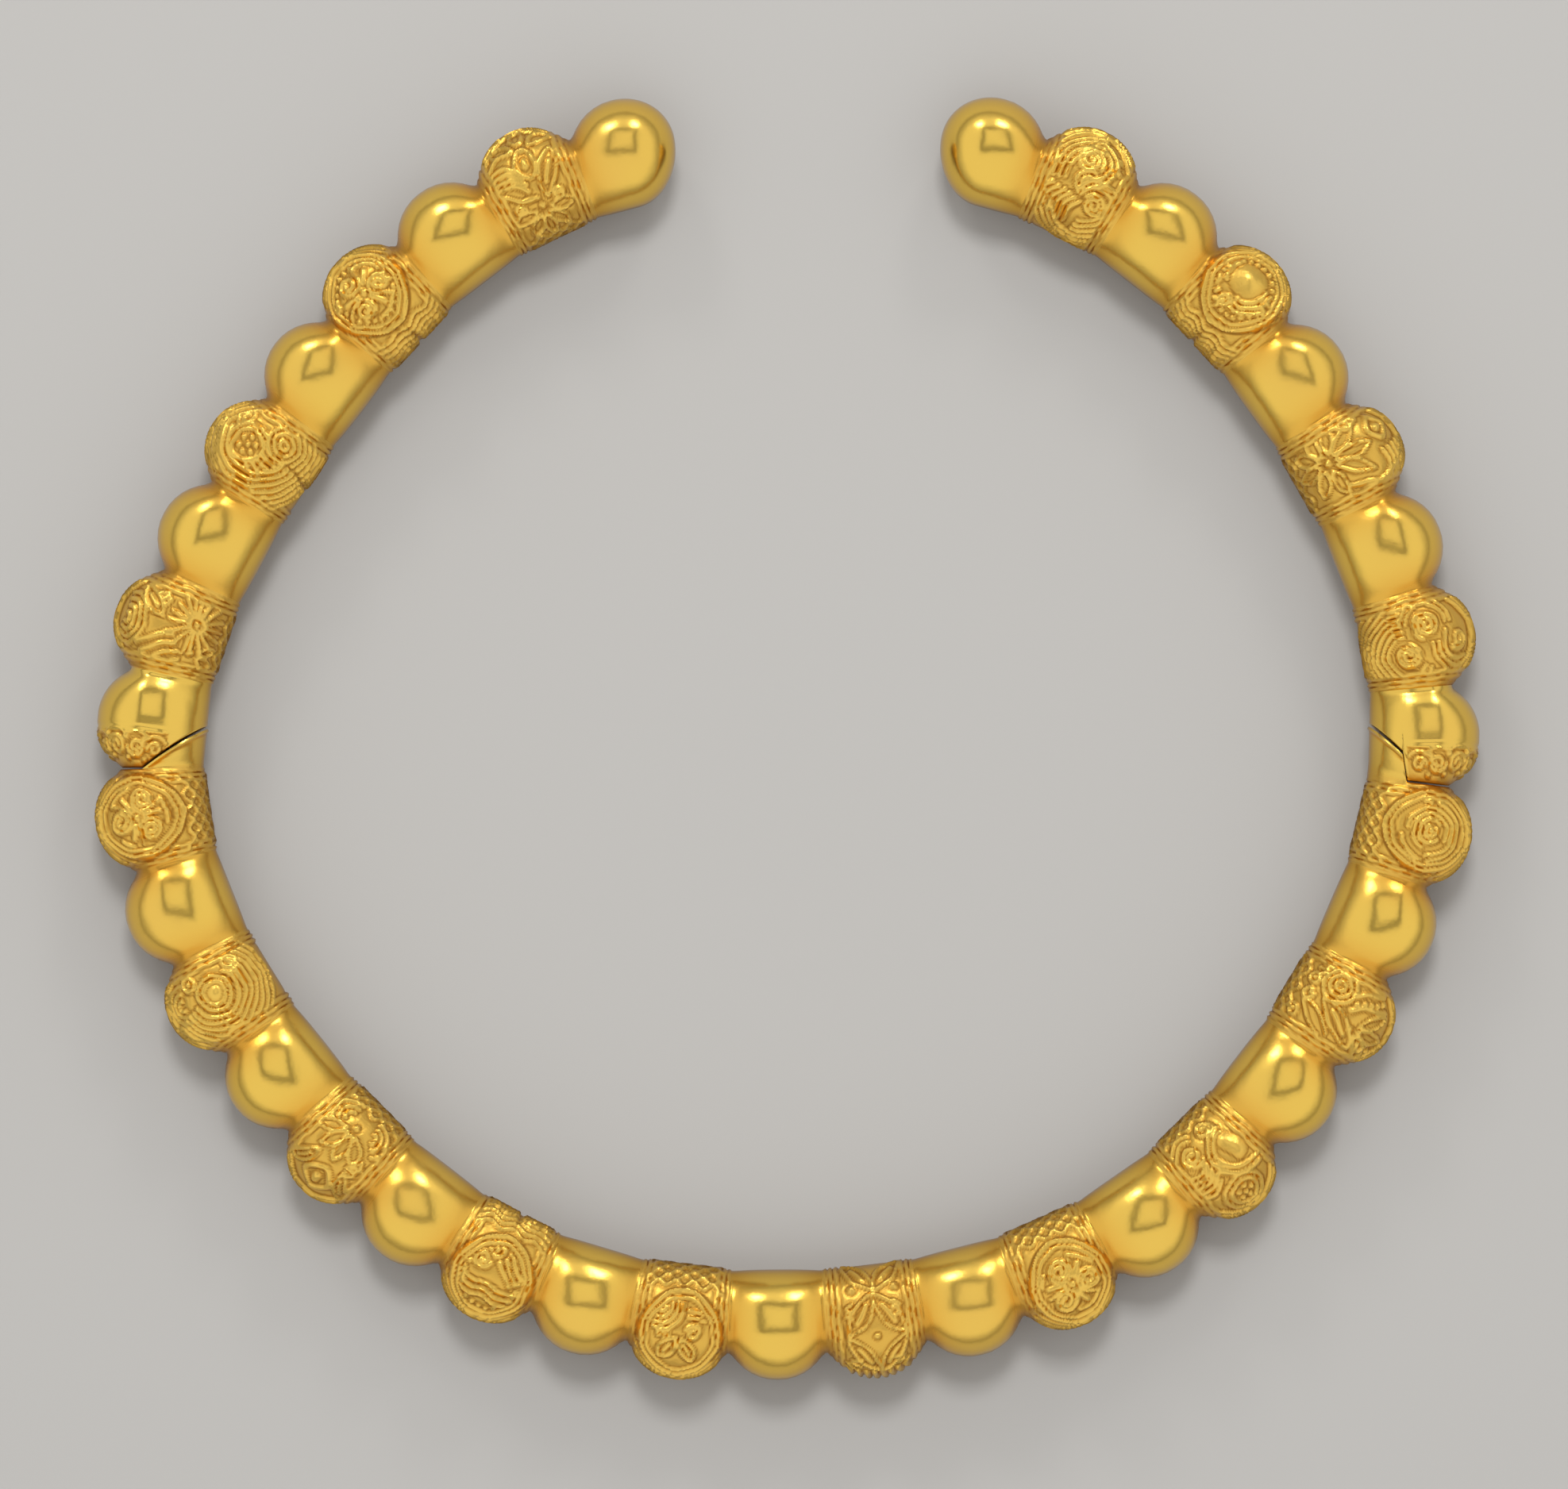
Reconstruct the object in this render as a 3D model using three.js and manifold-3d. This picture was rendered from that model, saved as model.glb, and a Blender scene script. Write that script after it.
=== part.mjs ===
// Gold torc: a neck ring of hollow sheet gold raised into a row of round beads, open at the front.
// It lies flat on its underside, with the opening towards +Y. Millimetres, +Z up.
// Two slanted joints part it into a long back arc and two arms that plug into it.

import * as THREE from 'three';
import { mergeVertices } from 'three/addons/utils/BufferGeometryUtils.js';
import Module from 'manifold-3d';

const wasm = await Module();
wasm.setup();

// Driving dimensions -------------------------------------------------------------------------

const INNER_RADIUS = 60.1; // mean radius of the wall that lies round the neck
// The hand-bent hoop leaves a true circle by these waves: [lobes, swing, direction in degrees]
const HOOP_WAVES = [[2, 1.7, 14.4], [3, 0.6, -41], [4, 0.6, 3.8], [5, 0.25, -28], [6, 0.65, 1.5]];
const PITCH = 10.515; // bead to bead, along the line of bead centres
const FIRST_WAIST_ANGLE = 110.8; // degrees, between the left terminal and the next bead

// The beads in order from the left terminal round the back to the right terminal:
// p plain ball, m medallion bead, l leaf bead, s spiral bead
const LEFT_BEADS = 'plpmpsplp';
const BACK_BEADS = 'mpsplpmpsplpmpsplpm';
const RIGHT_BEADS = 'psplpmpsp';

const INNER_REACH = 6.4; // from the line of bead centres in to the neck wall
const PLAIN_RADIUS = 5.55;
const CHASED_RADIUS = 5.85; // medallion, leaf and spiral beads
const NECK_OUTER = 2.7; // radius of the collar between two beads, on the outer side
const NECK_SIDE = 4.0; // and on the upper and lower sides
const NECK_INNER = 6.2; // the neck wall hardly dips between beads
const NECK_BLEND = 0.5; // softness of the corner between ball and collar
const MEDALLION_SWELL = 0.55; // how far a medallion stands out of its bead
const MEDALLION_TILT = 75; // degrees up from the ring's plane
const MEDALLION_RADIUS = 4.3;

const TERMINAL_LENGTH = 5.6; // from a terminal ball's centre to its free end
const AXIS_HEIGHT = 5.5; // of the bead centres, so that every bead gets a small flat spot

// Each joint runs from the neck wall to the outside as steps of
// [distance out from the neck wall, distance past the collar towards the arm]
const LEFT_JOINT = [[-4, 7.9], [6.6, 0], [20, 0]];
const RIGHT_JOINT = [[-4, 10.1], [4.1, 2.4], [4.1, 0], [20, 0]];
const JOINT_GAP = 0.44; // along the hoop, about 0.3 across the slanted face

const SIDES = 16; // facets round a section
const PLAIN_STEPS = 6; // sections along each bead
const CHASED_STEPS = 8;
const TERMINAL_STEPS = 5; // sections round a free end
const TIP_INSET = 0.4; // the last of them stops this share of a step short of the tip

// The line of bead centres ---------------------------------------------------------------------

const radians = THREE.MathUtils.degToRad;

function neckWallRadius(angle) {
  let radius = INNER_RADIUS;
  for (const [lobes, swing, towards] of HOOP_WAVES) {
    radius += swing * Math.cos(lobes * (angle - radians(towards)));
  }
  return radius;
}

// One turn of the hoop from straight up (+Y), round through -X; t runs from 0 to 1
class BeadLine extends THREE.Curve {
  getPoint(t, target = new THREE.Vector3()) {
    const angle = Math.PI / 2 + t * 2 * Math.PI;
    const radius = neckWallRadius(angle) + INNER_REACH;
    return target.set(radius * Math.cos(angle), radius * Math.sin(angle), 0);
  }
}

const line = new BeadLine();
line.arcLengthDivisions = 2000;
const lineLength = line.getLength();

const beads = [...LEFT_BEADS, ...BACK_BEADS, ...RIGHT_BEADS];
const firstWaist = lengthAtAngle(FIRST_WAIST_ANGLE);
const firstCentre = firstWaist - PITCH / 2;
const lastCentre = firstCentre + (beads.length - 1) * PITCH;

function lengthAtAngle(degrees) {
  const share = (degrees - 90) / 360;
  const lengths = line.getLengths();
  return lengths[Math.round(share * (lengths.length - 1))];
}

// The place and the two directions of a section: outwards from the ring, and along it
function sectionFrame(length) {
  const share = length / lineLength;
  const point = line.getPointAt(share);
  const along = line.getTangentAt(share);
  const out = new THREE.Vector3(along.y, -along.x, 0);
  return { point, along, out };
}

// A bead's surface -----------------------------------------------------------------------------

function beadRadius(kind) {
  return kind === 'p' ? PLAIN_RADIUS : CHASED_RADIUS;
}

// 1 at a bead's widest section, 0 at the collar; the outer profile is a circle down to the collar
function swelling(kind, offset) {
  const radius = beadRadius(kind);
  const ball = Math.sqrt(Math.max(radius ** 2 - offset ** 2, 0));
  const overNeck = ball - NECK_OUTER;
  const softened = (overNeck + Math.hypot(overNeck, NECK_BLEND)) / 2;
  return Math.min(softened / (radius - NECK_OUTER), 1);
}

// turn is 0 outwards, 90 degrees up, 180 inwards
function wallReach(kind, turn) {
  const radius = beadRadius(kind);
  if (Math.cos(turn) >= 0) return radius;
  return 1 / Math.hypot(Math.cos(turn) / INNER_REACH, Math.sin(turn) / radius);
}

function neckReach(turn) {
  const outward = Math.cos(turn);
  const end = outward >= 0 ? NECK_OUTER : NECK_INNER;
  return 1 / Math.hypot(outward / end, Math.sin(turn) / NECK_SIDE);
}

// A medallion bead's disc stands out as a low dome that faces up and outwards
function medallionSwell(kind, offset, turn) {
  if (kind !== 'm') return 0;
  const across = (turn - radians(MEDALLION_TILT)) * CHASED_RADIUS;
  const fromCentre = Math.hypot(offset, across) / MEDALLION_RADIUS;
  return MEDALLION_SWELL * Math.sqrt(Math.max(1 - fromCentre ** 2, 0));
}

function surfaceReach(kind, offset, turn) {
  const neck = neckReach(turn);
  const wall = wallReach(kind, turn);
  return neck + (wall - neck) * swelling(kind, offset) + medallionSwell(kind, offset, turn);
}

// The whole ring as one closed skin ------------------------------------------------------------

// Each section: where it stands along the line, and how far it reaches at each turn
function ringSections() {
  const sections = [];
  const terminalSection = (centre, side, step) => {
    const slope = ((step - TIP_INSET) / TERMINAL_STEPS) * (Math.PI / 2);
    sections.push({
      length: centre + side * TERMINAL_LENGTH * Math.sin(slope),
      reach: (turn) => wallReach('p', turn) * Math.cos(slope),
    });
  };
  for (let step = TERMINAL_STEPS; step >= 1; step -= 1) terminalSection(firstCentre, -1, step);
  beads.forEach((kind, index) => {
    const centre = firstCentre + index * PITCH;
    const steps = kind === 'p' ? PLAIN_STEPS : CHASED_STEPS;
    const from = index === 0 ? steps / 2 : 0;
    const to = index === beads.length - 1 ? steps / 2 : steps - 1;
    for (let step = from; step <= to; step += 1) {
      const offset = (step / steps - 0.5) * PITCH;
      sections.push({ length: centre + offset, reach: (turn) => surfaceReach(kind, offset, turn) });
    }
  });
  for (let step = 1; step <= TERMINAL_STEPS; step += 1) terminalSection(lastCentre, 1, step);
  return sections;
}

function ringGeometry() {
  const positions = [];
  const faces = [];
  const sections = ringSections();
  for (const { length, reach } of sections) {
    const { point, out } = sectionFrame(length);
    for (let side = 0; side < SIDES; side += 1) {
      const turn = ((side / SIDES) * 2 - 1) * Math.PI;
      const away = reach(turn);
      const sideways = away * Math.cos(turn);
      positions.push(point.x + out.x * sideways, point.y + out.y * sideways, away * Math.sin(turn));
    }
  }
  const corner = (section, side) => section * SIDES + (side % SIDES);
  for (let section = 0; section + 1 < sections.length; section += 1) {
    for (let side = 0; side < SIDES; side += 1) {
      const [a, b] = [corner(section, side), corner(section, side + 1)];
      const [c, d] = [corner(section + 1, side + 1), corner(section + 1, side)];
      faces.push(a, c, b, a, d, c);
    }
  }
  closeEnd(positions, faces, sectionFrame(firstCentre - TERMINAL_LENGTH), 0, false);
  closeEnd(positions, faces, sectionFrame(lastCentre + TERMINAL_LENGTH), sections.length - 1, true);
  const geometry = new THREE.BufferGeometry();
  geometry.setAttribute('position', new THREE.Float32BufferAttribute(positions, 3));
  geometry.setIndex(faces);
  return geometry;
}

// A fan of faces from the last section to the tip of a terminal ball
function closeEnd(positions, faces, { point }, section, atEnd) {
  const tip = positions.length / 3;
  positions.push(point.x, point.y, 0);
  for (let side = 0; side < SIDES; side += 1) {
    const a = section * SIDES + side;
    const b = section * SIDES + ((side + 1) % SIDES);
    faces.push(...(atEnd ? [a, tip, b] : [a, b, tip]));
  }
}

// Solids for cutting ---------------------------------------------------------------------------

function solidOf(geometry) {
  const bare = geometry.clone();
  bare.deleteAttribute('normal');
  bare.deleteAttribute('uv');
  const merged = mergeVertices(bare, 1e-4);
  return new wasm.Manifold(new wasm.Mesh({
    numProp: 3,
    vertProperties: Float32Array.from(merged.attributes.position.array),
    triVerts: Uint32Array.from(merged.index.array),
  }));
}

function geometryOf(solid) {
  const mesh = solid.getMesh();
  const geometry = new THREE.BufferGeometry();
  geometry.setAttribute('position', new THREE.Float32BufferAttribute(mesh.vertProperties, 3));
  geometry.setIndex([...mesh.triVerts]);
  geometry.computeVertexNormals();
  return geometry;
}

const CUT_HEIGHT = 40;
const CUT_SPAN = 130; // from the middle of the ring past its outside

// An upright block over a plan outline
function blockOver(outline) {
  const shape = new THREE.Shape(outline.map(([x, y]) => new THREE.Vector2(x, y)));
  const block = new THREE.ExtrudeGeometry(shape, { depth: CUT_HEIGHT, bevelEnabled: false });
  return solidOf(block.translate(0, 0, -CUT_HEIGHT / 2));
}

// A joint's plan points from the neck wall outwards; armSide is the direction of the arm along
// the line of beads, and shift moves the cut that way
function jointPath(steps, waistLength, armSide, shift) {
  const { point, along, out } = sectionFrame(waistLength);
  return steps.map(([fromWall, pastCollar]) => {
    const sideways = fromWall - INNER_REACH;
    const forward = armSide * (pastCollar + shift);
    return [
      point.x + out.x * sideways + along.x * forward,
      point.y + out.y * sideways + along.y * forward,
    ];
  });
}

const leftWaist = firstCentre + (LEFT_BEADS.length - 0.5) * PITCH;
const rightWaist = leftWaist + BACK_BEADS.length * PITCH;

function leftJoint(shift) {
  return jointPath(LEFT_JOINT, leftWaist, -1, shift);
}

function rightJoint(shift) {
  return jointPath(RIGHT_JOINT, rightWaist, 1, shift);
}

// The three pieces -----------------------------------------------------------------------------

const ring = solidOf(ringGeometry().translate(0, 0, AXIS_HEIGHT));
const aboveTable = solidOf(
  new THREE.BoxGeometry(2 * CUT_SPAN, 2 * CUT_SPAN, CUT_HEIGHT).translate(0, 0, CUT_HEIGHT / 2),
);
const restingRing = ring.intersect(aboveTable);

const armShift = JOINT_GAP / 2;
const leftPlan = [[0, 0], [0, CUT_SPAN], [-CUT_SPAN, CUT_SPAN], ...leftJoint(armShift).reverse()];
const rightPlan = [[0, 0], ...rightJoint(armShift), [CUT_SPAN, CUT_SPAN], [0, CUT_SPAN]];
const backPlan = [
  [0, 0],
  ...leftJoint(-armShift),
  [-CUT_SPAN, -CUT_SPAN],
  [CUT_SPAN, -CUT_SPAN],
  ...rightJoint(-armShift).reverse(),
];

const bounds = new THREE.Box3().setFromBufferAttribute(
  geometryOf(restingRing).attributes.position,
);
const middle = bounds.getCenter(new THREE.Vector3());

function piece(name, plan, colour) {
  const geometry = geometryOf(restingRing.intersect(blockOver(plan)));
  const gold = new THREE.MeshStandardMaterial({ color: colour, roughness: 0.28, metalness: 1 });
  const mesh = new THREE.Mesh(geometry, gold);
  mesh.name = name;
  return mesh;
}

const torc = new THREE.Group();
torc.name = 'torc';
torc.add(
  piece('back_arc', backPlan, 0xe0b24a),
  piece('left_arm', leftPlan, 0xe3b64e),
  piece('right_arm', rightPlan, 0xe3b64e),
);
torc.position.set(-middle.x, -middle.y, 0);

export default torc;
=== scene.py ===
import math

import bpy
import numpy as np
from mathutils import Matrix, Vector


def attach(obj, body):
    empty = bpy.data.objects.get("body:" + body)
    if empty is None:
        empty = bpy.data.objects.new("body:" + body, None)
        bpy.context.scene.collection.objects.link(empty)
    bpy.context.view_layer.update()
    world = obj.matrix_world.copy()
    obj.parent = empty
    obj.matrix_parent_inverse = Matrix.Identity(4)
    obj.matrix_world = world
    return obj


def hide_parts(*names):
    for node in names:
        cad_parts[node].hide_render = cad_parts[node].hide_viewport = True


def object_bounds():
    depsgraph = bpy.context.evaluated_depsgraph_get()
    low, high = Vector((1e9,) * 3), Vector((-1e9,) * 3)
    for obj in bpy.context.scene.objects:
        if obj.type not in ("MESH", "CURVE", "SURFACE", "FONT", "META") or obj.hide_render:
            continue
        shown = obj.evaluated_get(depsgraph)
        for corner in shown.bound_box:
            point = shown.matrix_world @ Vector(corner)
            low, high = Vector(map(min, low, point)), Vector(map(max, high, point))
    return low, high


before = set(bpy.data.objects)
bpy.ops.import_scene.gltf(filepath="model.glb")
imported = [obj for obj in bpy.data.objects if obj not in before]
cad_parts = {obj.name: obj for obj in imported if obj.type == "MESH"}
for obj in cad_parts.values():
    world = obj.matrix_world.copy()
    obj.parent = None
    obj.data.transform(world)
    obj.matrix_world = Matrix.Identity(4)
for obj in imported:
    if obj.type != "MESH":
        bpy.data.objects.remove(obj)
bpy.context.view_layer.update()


# ---- Back arc ------------------------------------------------------------------------------
# The long rear part of the neck ring: thin sheet gold, hollow inside, raised from behind into
# nineteen round beads, plain and chased in turn. A smooth tongue at each end laps under the
# last bead of an arm, where the two parts push together.

MM = 0.001
NECK_WALL = 60.1
HOOP_WAVES = ((2, 1.7, 14.4), (3, 0.6, -41.0), (4, 0.6, 3.8), (5, 0.25, -28.0), (6, 0.65, 1.5))
HOOP_MIDDLE = (0.4914, 0.8208)
FIRST_WAIST_DEGREES = 110.8
BEAD_PITCH = 10.515
BEAD_COUNT = 37
LEFT_BEADS = range(0, 9)
BACK_BEADS = range(9, 28)
RIGHT_BEADS = range(28, 37)

AXIS_HEIGHT = 5.5
INNER_REACH = 6.4
CHASED_INNER = 6.3
PLAIN_RADIUS = 5.52
CHASED_RADIUS = 5.66
UNDERSIDE_RADIUS = 5.85
NECK_OUTER = 2.7
NECK_SIDE = 4.0
NECK_INNER = 6.15
NECK_BLEND = 0.5

COLUMNS = 124
UNDERSIDE_DENSITY = 0.28
CHASED_ROWS = 56
PLAIN_ROWS = 16

RIDGE = 0.42
FINE = 0.35
RISE = 0.3
DITCH_DEPTH = 0.07
FIELD_HALF = 3.55
COLLARS = (3.8, 4.45, 5.05)
COLLAR_HALF = 0.36
COLLAR_RISE = 0.2
DISC_SHAPE = 0.87
DISC_EDGE = 5.3
DISC_STRETCH = np.array([DISC_SHAPE, 1.0])


def hoop_line(steps=1440):
    """The line through the bead middles, seen from above, and the length run along it."""
    angle = math.pi / 2 + np.linspace(0, 2 * math.pi, steps + 1)
    wall = NECK_WALL + sum(
        swing * np.cos(lobes * (angle - math.radians(towards)))
        for lobes, swing, towards in HOOP_WAVES
    )
    radius = wall + INNER_REACH
    points = np.stack([radius * np.cos(angle), radius * np.sin(angle)], 1)
    run = np.concatenate([[0], np.cumsum(np.hypot(*np.diff(points, axis=0).T))])
    return points + HOOP_MIDDLE, angle, run


hoop_points, hoop_angles, hoop_run = hoop_line()
first_waist = np.interp(math.radians(FIRST_WAIST_DEGREES), hoop_angles, hoop_run)


def bead_middle(number):
    """How far along the hoop line a bead's middle is."""
    return first_waist + (number - 0.5) * BEAD_PITCH


def column_turns():
    """Turns round the bead, from the outer side over the top: close together where they show."""
    turn = np.linspace(0, 2 * math.pi, 2001)
    seen = np.clip((np.sin(turn) + 0.5) / 0.35, 0, 1)
    seen = seen * seen * (3 - 2 * seen)
    density = UNDERSIDE_DENSITY + (1 - UNDERSIDE_DENSITY) * seen
    share = np.concatenate([[0], np.cumsum((density[1:] + density[:-1]) / 2)])
    return np.interp(np.arange(COLUMNS) / COLUMNS, share / share[-1], turn)


TURNS = column_turns()
COS, SIN = np.cos(TURNS), np.sin(TURNS)


def bead_reach(offset, chased, cos, sin):
    """Reach of the sheet from the bead's axis, at an offset along it and a turn round it."""
    upper = CHASED_RADIUS if chased else PLAIN_RADIUS
    inner = CHASED_INNER if chased else INNER_REACH
    under = np.clip(-sin / 0.6, 0, 1)
    radius = upper + ((UNDERSIDE_RADIUS - upper) * under * under * (3 - 2 * under) if chased else 0)
    ball = np.sqrt(np.clip(radius**2 - offset**2, 0, None))
    over = ball - NECK_OUTER
    swelling = np.minimum((over + np.hypot(over, NECK_BLEND)) / 2 / (radius - NECK_OUTER), 1)
    wall = np.where(cos >= 0, radius, 1 / np.hypot(cos / inner, sin / radius))
    neck = 1 / np.hypot(cos / np.where(cos >= 0, NECK_OUTER, NECK_INNER), sin / NECK_SIDE)
    return neck + (wall - neck) * swelling


def oval(middle, along, across, start=0, sweep=360):
    """An arc of an oval, as a path of points (along the hoop, outwards round the bead)."""
    turn = np.radians(np.linspace(start, start + sweep, 8 + int(abs(sweep) * across / 14)))
    return np.stack([middle[0] + along * np.cos(turn), middle[1] + across * np.sin(turn)], 1)


def ring(middle, radius, start=0, sweep=360):
    """An arc or a whole ring."""
    return oval(middle, radius, radius, start, sweep)


def curl(middle, radius, turns, start, hand=1, core=0.25):
    """A spiral that winds in to its core."""
    share = np.linspace(0, 1, 6 + int(22 * turns))
    turn = math.radians(start) + hand * share * turns * 2 * math.pi
    reach = radius + (core - radius) * share
    return np.stack([middle[0] + reach * np.cos(turn), middle[1] + reach * np.sin(turn)], 1)


def line(*corners):
    """A smooth path through a few points."""
    points = np.array(corners, float)
    ends = np.vstack([2 * points[0] - points[1], points, 2 * points[-1] - points[-2]])
    share = np.linspace(0, 1, 10, endpoint=False)[:, None]
    pieces = []
    for before, start, end, after in zip(ends, ends[1:], ends[2:], ends[3:]):
        bow = 2 * before - 5 * start + 4 * end - after
        twist = 3 * (start - end) + after - before
        pieces.append(start + share * (end - before + share * (bow + share * twist)) / 2)
    return np.vstack(pieces + [points[-1:]])


def leaf(root, tip, belly):
    """The almond outline of a leaf."""
    root, tip = np.array(root, float), np.array(tip, float)
    side = np.array([root[1] - tip[1], tip[0] - root[0]]) / np.hypot(*(tip - root))
    share = np.linspace(0, 1, 11)[:, None]
    spine = root + share * (tip - root)
    bulge = side * belly * np.sin(math.pi * share) ** 0.8
    return np.vstack([spine + bulge, (spine - bulge)[::-1]])


def at(middle, reach, degrees):
    """A point at a reach and bearing from another."""
    turn = math.radians(degrees)
    return np.array([middle[0] + reach * math.cos(turn), middle[1] + reach * math.sin(turn)])


def chase(*paths, width=RIDGE, rise=RISE):
    """Ridges raised along the paths."""
    return [(path, width, rise) for path in paths]


def sheaf(path, step, count, width=FINE, rise=RISE):
    """One ridge repeated side by side."""
    return chase(*(path + np.array(step) * place for place in range(count)), width=width, rise=rise)


def nest(middle, radii, start=0, sweep=360, width=FINE, rise=RISE):
    """Nested arcs about one middle."""
    return chase(*(ring(middle, radius, start, sweep) for radius in radii), width=width, rise=rise)


def scroll(middle, radius, start, hand=1):
    """A spiral of two turns or so, wound close."""
    return chase(curl(middle, radius, radius / 0.62 - 0.3, start, hand), width=FINE)


def knobs(*middles, radius=0.34, rise=RISE * 1.2):
    """Small round knobs."""
    return chase(*(ring(middle, 0.04) for middle in middles), width=radius, rise=rise)


def ringed_boss(middle, radius):
    """A knob in a ring."""
    return knobs(middle, radius=radius * 0.55) + chase(ring(middle, radius), width=FINE)


def veined_leaf(root, tip, belly):
    """A leaf with a narrow blade inside its outline."""
    root, tip = np.array(root, float), np.array(tip, float)
    span = tip - root
    blade = chase(line(root + 0.3 * span, tip - 0.28 * span), width=belly * 0.42, rise=RISE * 0.8)
    return chase(leaf(root, tip, belly), width=0.31) + blade


def fan(root, bearings, length, belly, start=1.0):
    """Outlined petals spread from one point."""
    strokes = knobs(root, radius=0.5)
    for bearing in bearings:
        petal = leaf(at(root, start, bearing), at(root, length, bearing), belly)
        strokes += chase(petal, width=0.3)
    return strokes


def rays(root, bearings, length, start=0.8, width=0.34):
    """Short ridges spread from one point."""
    return chase(*(line(at(root, start, bearing), at(root, length, bearing)) for bearing in bearings),
                 width=width)


def pad(start, end, width, rise=0.32):
    """A smooth swelling between two points."""
    return [(line(start, end), width, rise)]


def inside_only(strokes, test):
    """The parts of strokes that lie where a test is true."""
    parts = []
    for path, width, rise in strokes:
        passed = np.concatenate([[False], test(path[:, 0], path[:, 1]), [False]])
        edges = np.flatnonzero(passed[1:] != passed[:-1])
        for start, end in edges.reshape(-1, 2):
            if end - start > 1:
                parts.append((path[start:end], width, rise))
    return parts


def framed(strokes, half=FIELD_HALF):
    """A field's strokes cut off at the collars, with three ridges round each end of the bead."""
    strokes = inside_only(strokes, lambda along, across: np.abs(along) < half)
    for place in COLLARS:
        strokes += chase(line((-place, -14), (-place, 9)), line((place, -14), (place, 9)),
                         width=COLLAR_HALF, rise=COLLAR_RISE)
    return strokes


def lozenges(top=-4.9, rows=8, swing=0.36, pitch=2.1, lean=0.0):
    """A net of rounded lozenges across the inner side."""
    strokes = []
    along = np.linspace(-4.2, 4.2, 56)
    for row in range(rows):
        wave = swing * np.cos(2 * math.pi * along / pitch + math.pi * row)
        path = np.stack([along, top - 0.76 * row + wave + lean * along], 1)
        strokes += chase(path, width=0.3, rise=RISE * 0.9)
    return strokes


def whiskers(top=-4.7, rows=7):
    """Wavy lines that sweep from the middle to both sides across the inner side."""
    strokes = []
    for side in (-1, 1):
        wave = line((side * 0.2, top - 0.1), (side * 1.5, top + 0.45), (side * 2.9, top),
                    (side * 4.1, top + 0.3))
        strokes += sheaf(wave, (side * 0.06, -0.8), rows, width=0.36)
    return strokes


def outer_rims(middle, first=6.1, count=3, step=1.0):
    """Bold nested rims down the outer side, about a middle."""
    strokes = []
    for row in range(count):
        across = first + row * step
        strokes += chase(oval(middle, across * 0.8, across, 5, 170), width=0.42, rise=0.42)
    return strokes


def medallion(middle, field, inner):
    """A raised disc in a double rim, its field clear of the rims, over an inner side of its own."""
    def within(along, across):
        return np.hypot((along - middle[0]) / DISC_SHAPE, across - middle[1]) < 3.65

    disc = chase(oval(middle, 4.9 * DISC_SHAPE, 4.9), width=0.42, rise=0.34)
    disc += chase(oval(middle, 4.15 * DISC_SHAPE, 4.15), width=0.32, rise=0.24)
    disc += inside_only(field, within)
    return framed(inner + outer_rims(middle), 4.3), (middle, disc)


def rim_knobs(middle, reach, bearings, radius=0.36):
    """Knobs set along a rim."""
    return knobs(*(at(middle, reach, bearing) for bearing in bearings), radius=radius)


def pellets(middle, reach, count=24):
    """A round of small pellets."""
    spots = (at(middle, reach, 360 * step / count) for step in range(count))
    return [(DISC_STRETCH * (ring(spot, 0.04) - middle) + middle, 0.33, RISE) for spot in spots]


def triskele(middle, twist, radius=1.25):
    """Three curls round a knob, with a blade and an arc between each two."""
    strokes = knobs(middle, radius=0.5)
    for arm in range(3):
        towards = twist + arm * 120
        strokes += scroll(at(middle, 1.95, towards), radius, towards + 190)
        strokes += pad(at(middle, 0.9, towards + 60), at(middle, 2.5, towards + 60), 0.42, RISE)
        strokes += nest(middle, (3.2,), towards + 34, 52)
        strokes += chase(line(at(middle, 0.7, towards + 20), at(middle, 1.5, towards + 40),
                              at(middle, 2.9, towards + 36)), width=0.28)
    return strokes


def weave():
    """Waves above a pair of curls and three slanting bars."""
    field = sheaf(line((-2.9, 1.5), (-1.4, 1.9), (0.2, 1.5), (1.8, 2.0), (3.3, 1.6)), (0.05, 0.82), 3)
    field += scroll((-1.6, -0.6), 1.05, 0) + scroll((-0.4, -2.2), 0.75, 120, -1)
    field += sheaf(line((0.3, -1.0), (2.2, 1.0)), (0.55, -0.55), 4, width=0.36)
    return field


def whorl(middle, twist):
    """Close nested arcs, each opening a little further round, like the lines of a thumbprint."""
    strokes = knobs(middle, radius=0.4)
    for step in range(5):
        strokes += nest(middle, (0.62 + 0.64 * step,), twist + 70 * step, 270)
    return strokes


def domed(middle):
    """A smooth dome between nested arcs, with knobs along its foot."""
    top = (middle[0] + 0.3, middle[1] + 0.9)
    strokes = [(ring(top, 0.05), 2.1, 0.34)] + nest(top, (2.3, 2.95, 3.6), 165, 95)
    strokes += nest(top, (2.3,), -40, 70) + ringed_boss((middle[0] + 0.7, middle[1] - 2.4), 0.6)
    return strokes + rim_knobs(middle, 2.9, (292, 314, 336), 0.4)


def bead_1():
    """A bud between a long leaf and three oblique bars."""
    field = veined_leaf((-3.2, 3.0), (-0.9, -2.3), 1.0)
    field += chase(oval((-0.1, 2.0), 1.05, 1.7), width=FINE) + pad((-0.1, 1.7), (-0.1, 2.3), 0.5)
    field += sheaf(line((0.8, -1.1), (2.0, 0.2), (3.5, 0.6)), (0.05, 0.8), 4, width=0.4)
    field += chase(line((0.2, -2.1), (2.1, -1.6), (3.5, -0.5)), line((0.9, 4.0), (2.1, 4.4), (3.5, 3.7)))
    field += fan((0.1, -3.1), (195, 235, 270, 305, 345), 3.9, 0.62)
    field += ringed_boss((-2.2, -2.6), 0.55) + ringed_boss((2.5, -2.7), 0.5)
    field += fan((-0.3, 3.6), (35, 90, 145), 3.9, 0.7) + lozenges(-6.9, 4)
    return framed(field + outer_rims((0, 1), 6.2, 2)), None


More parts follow.
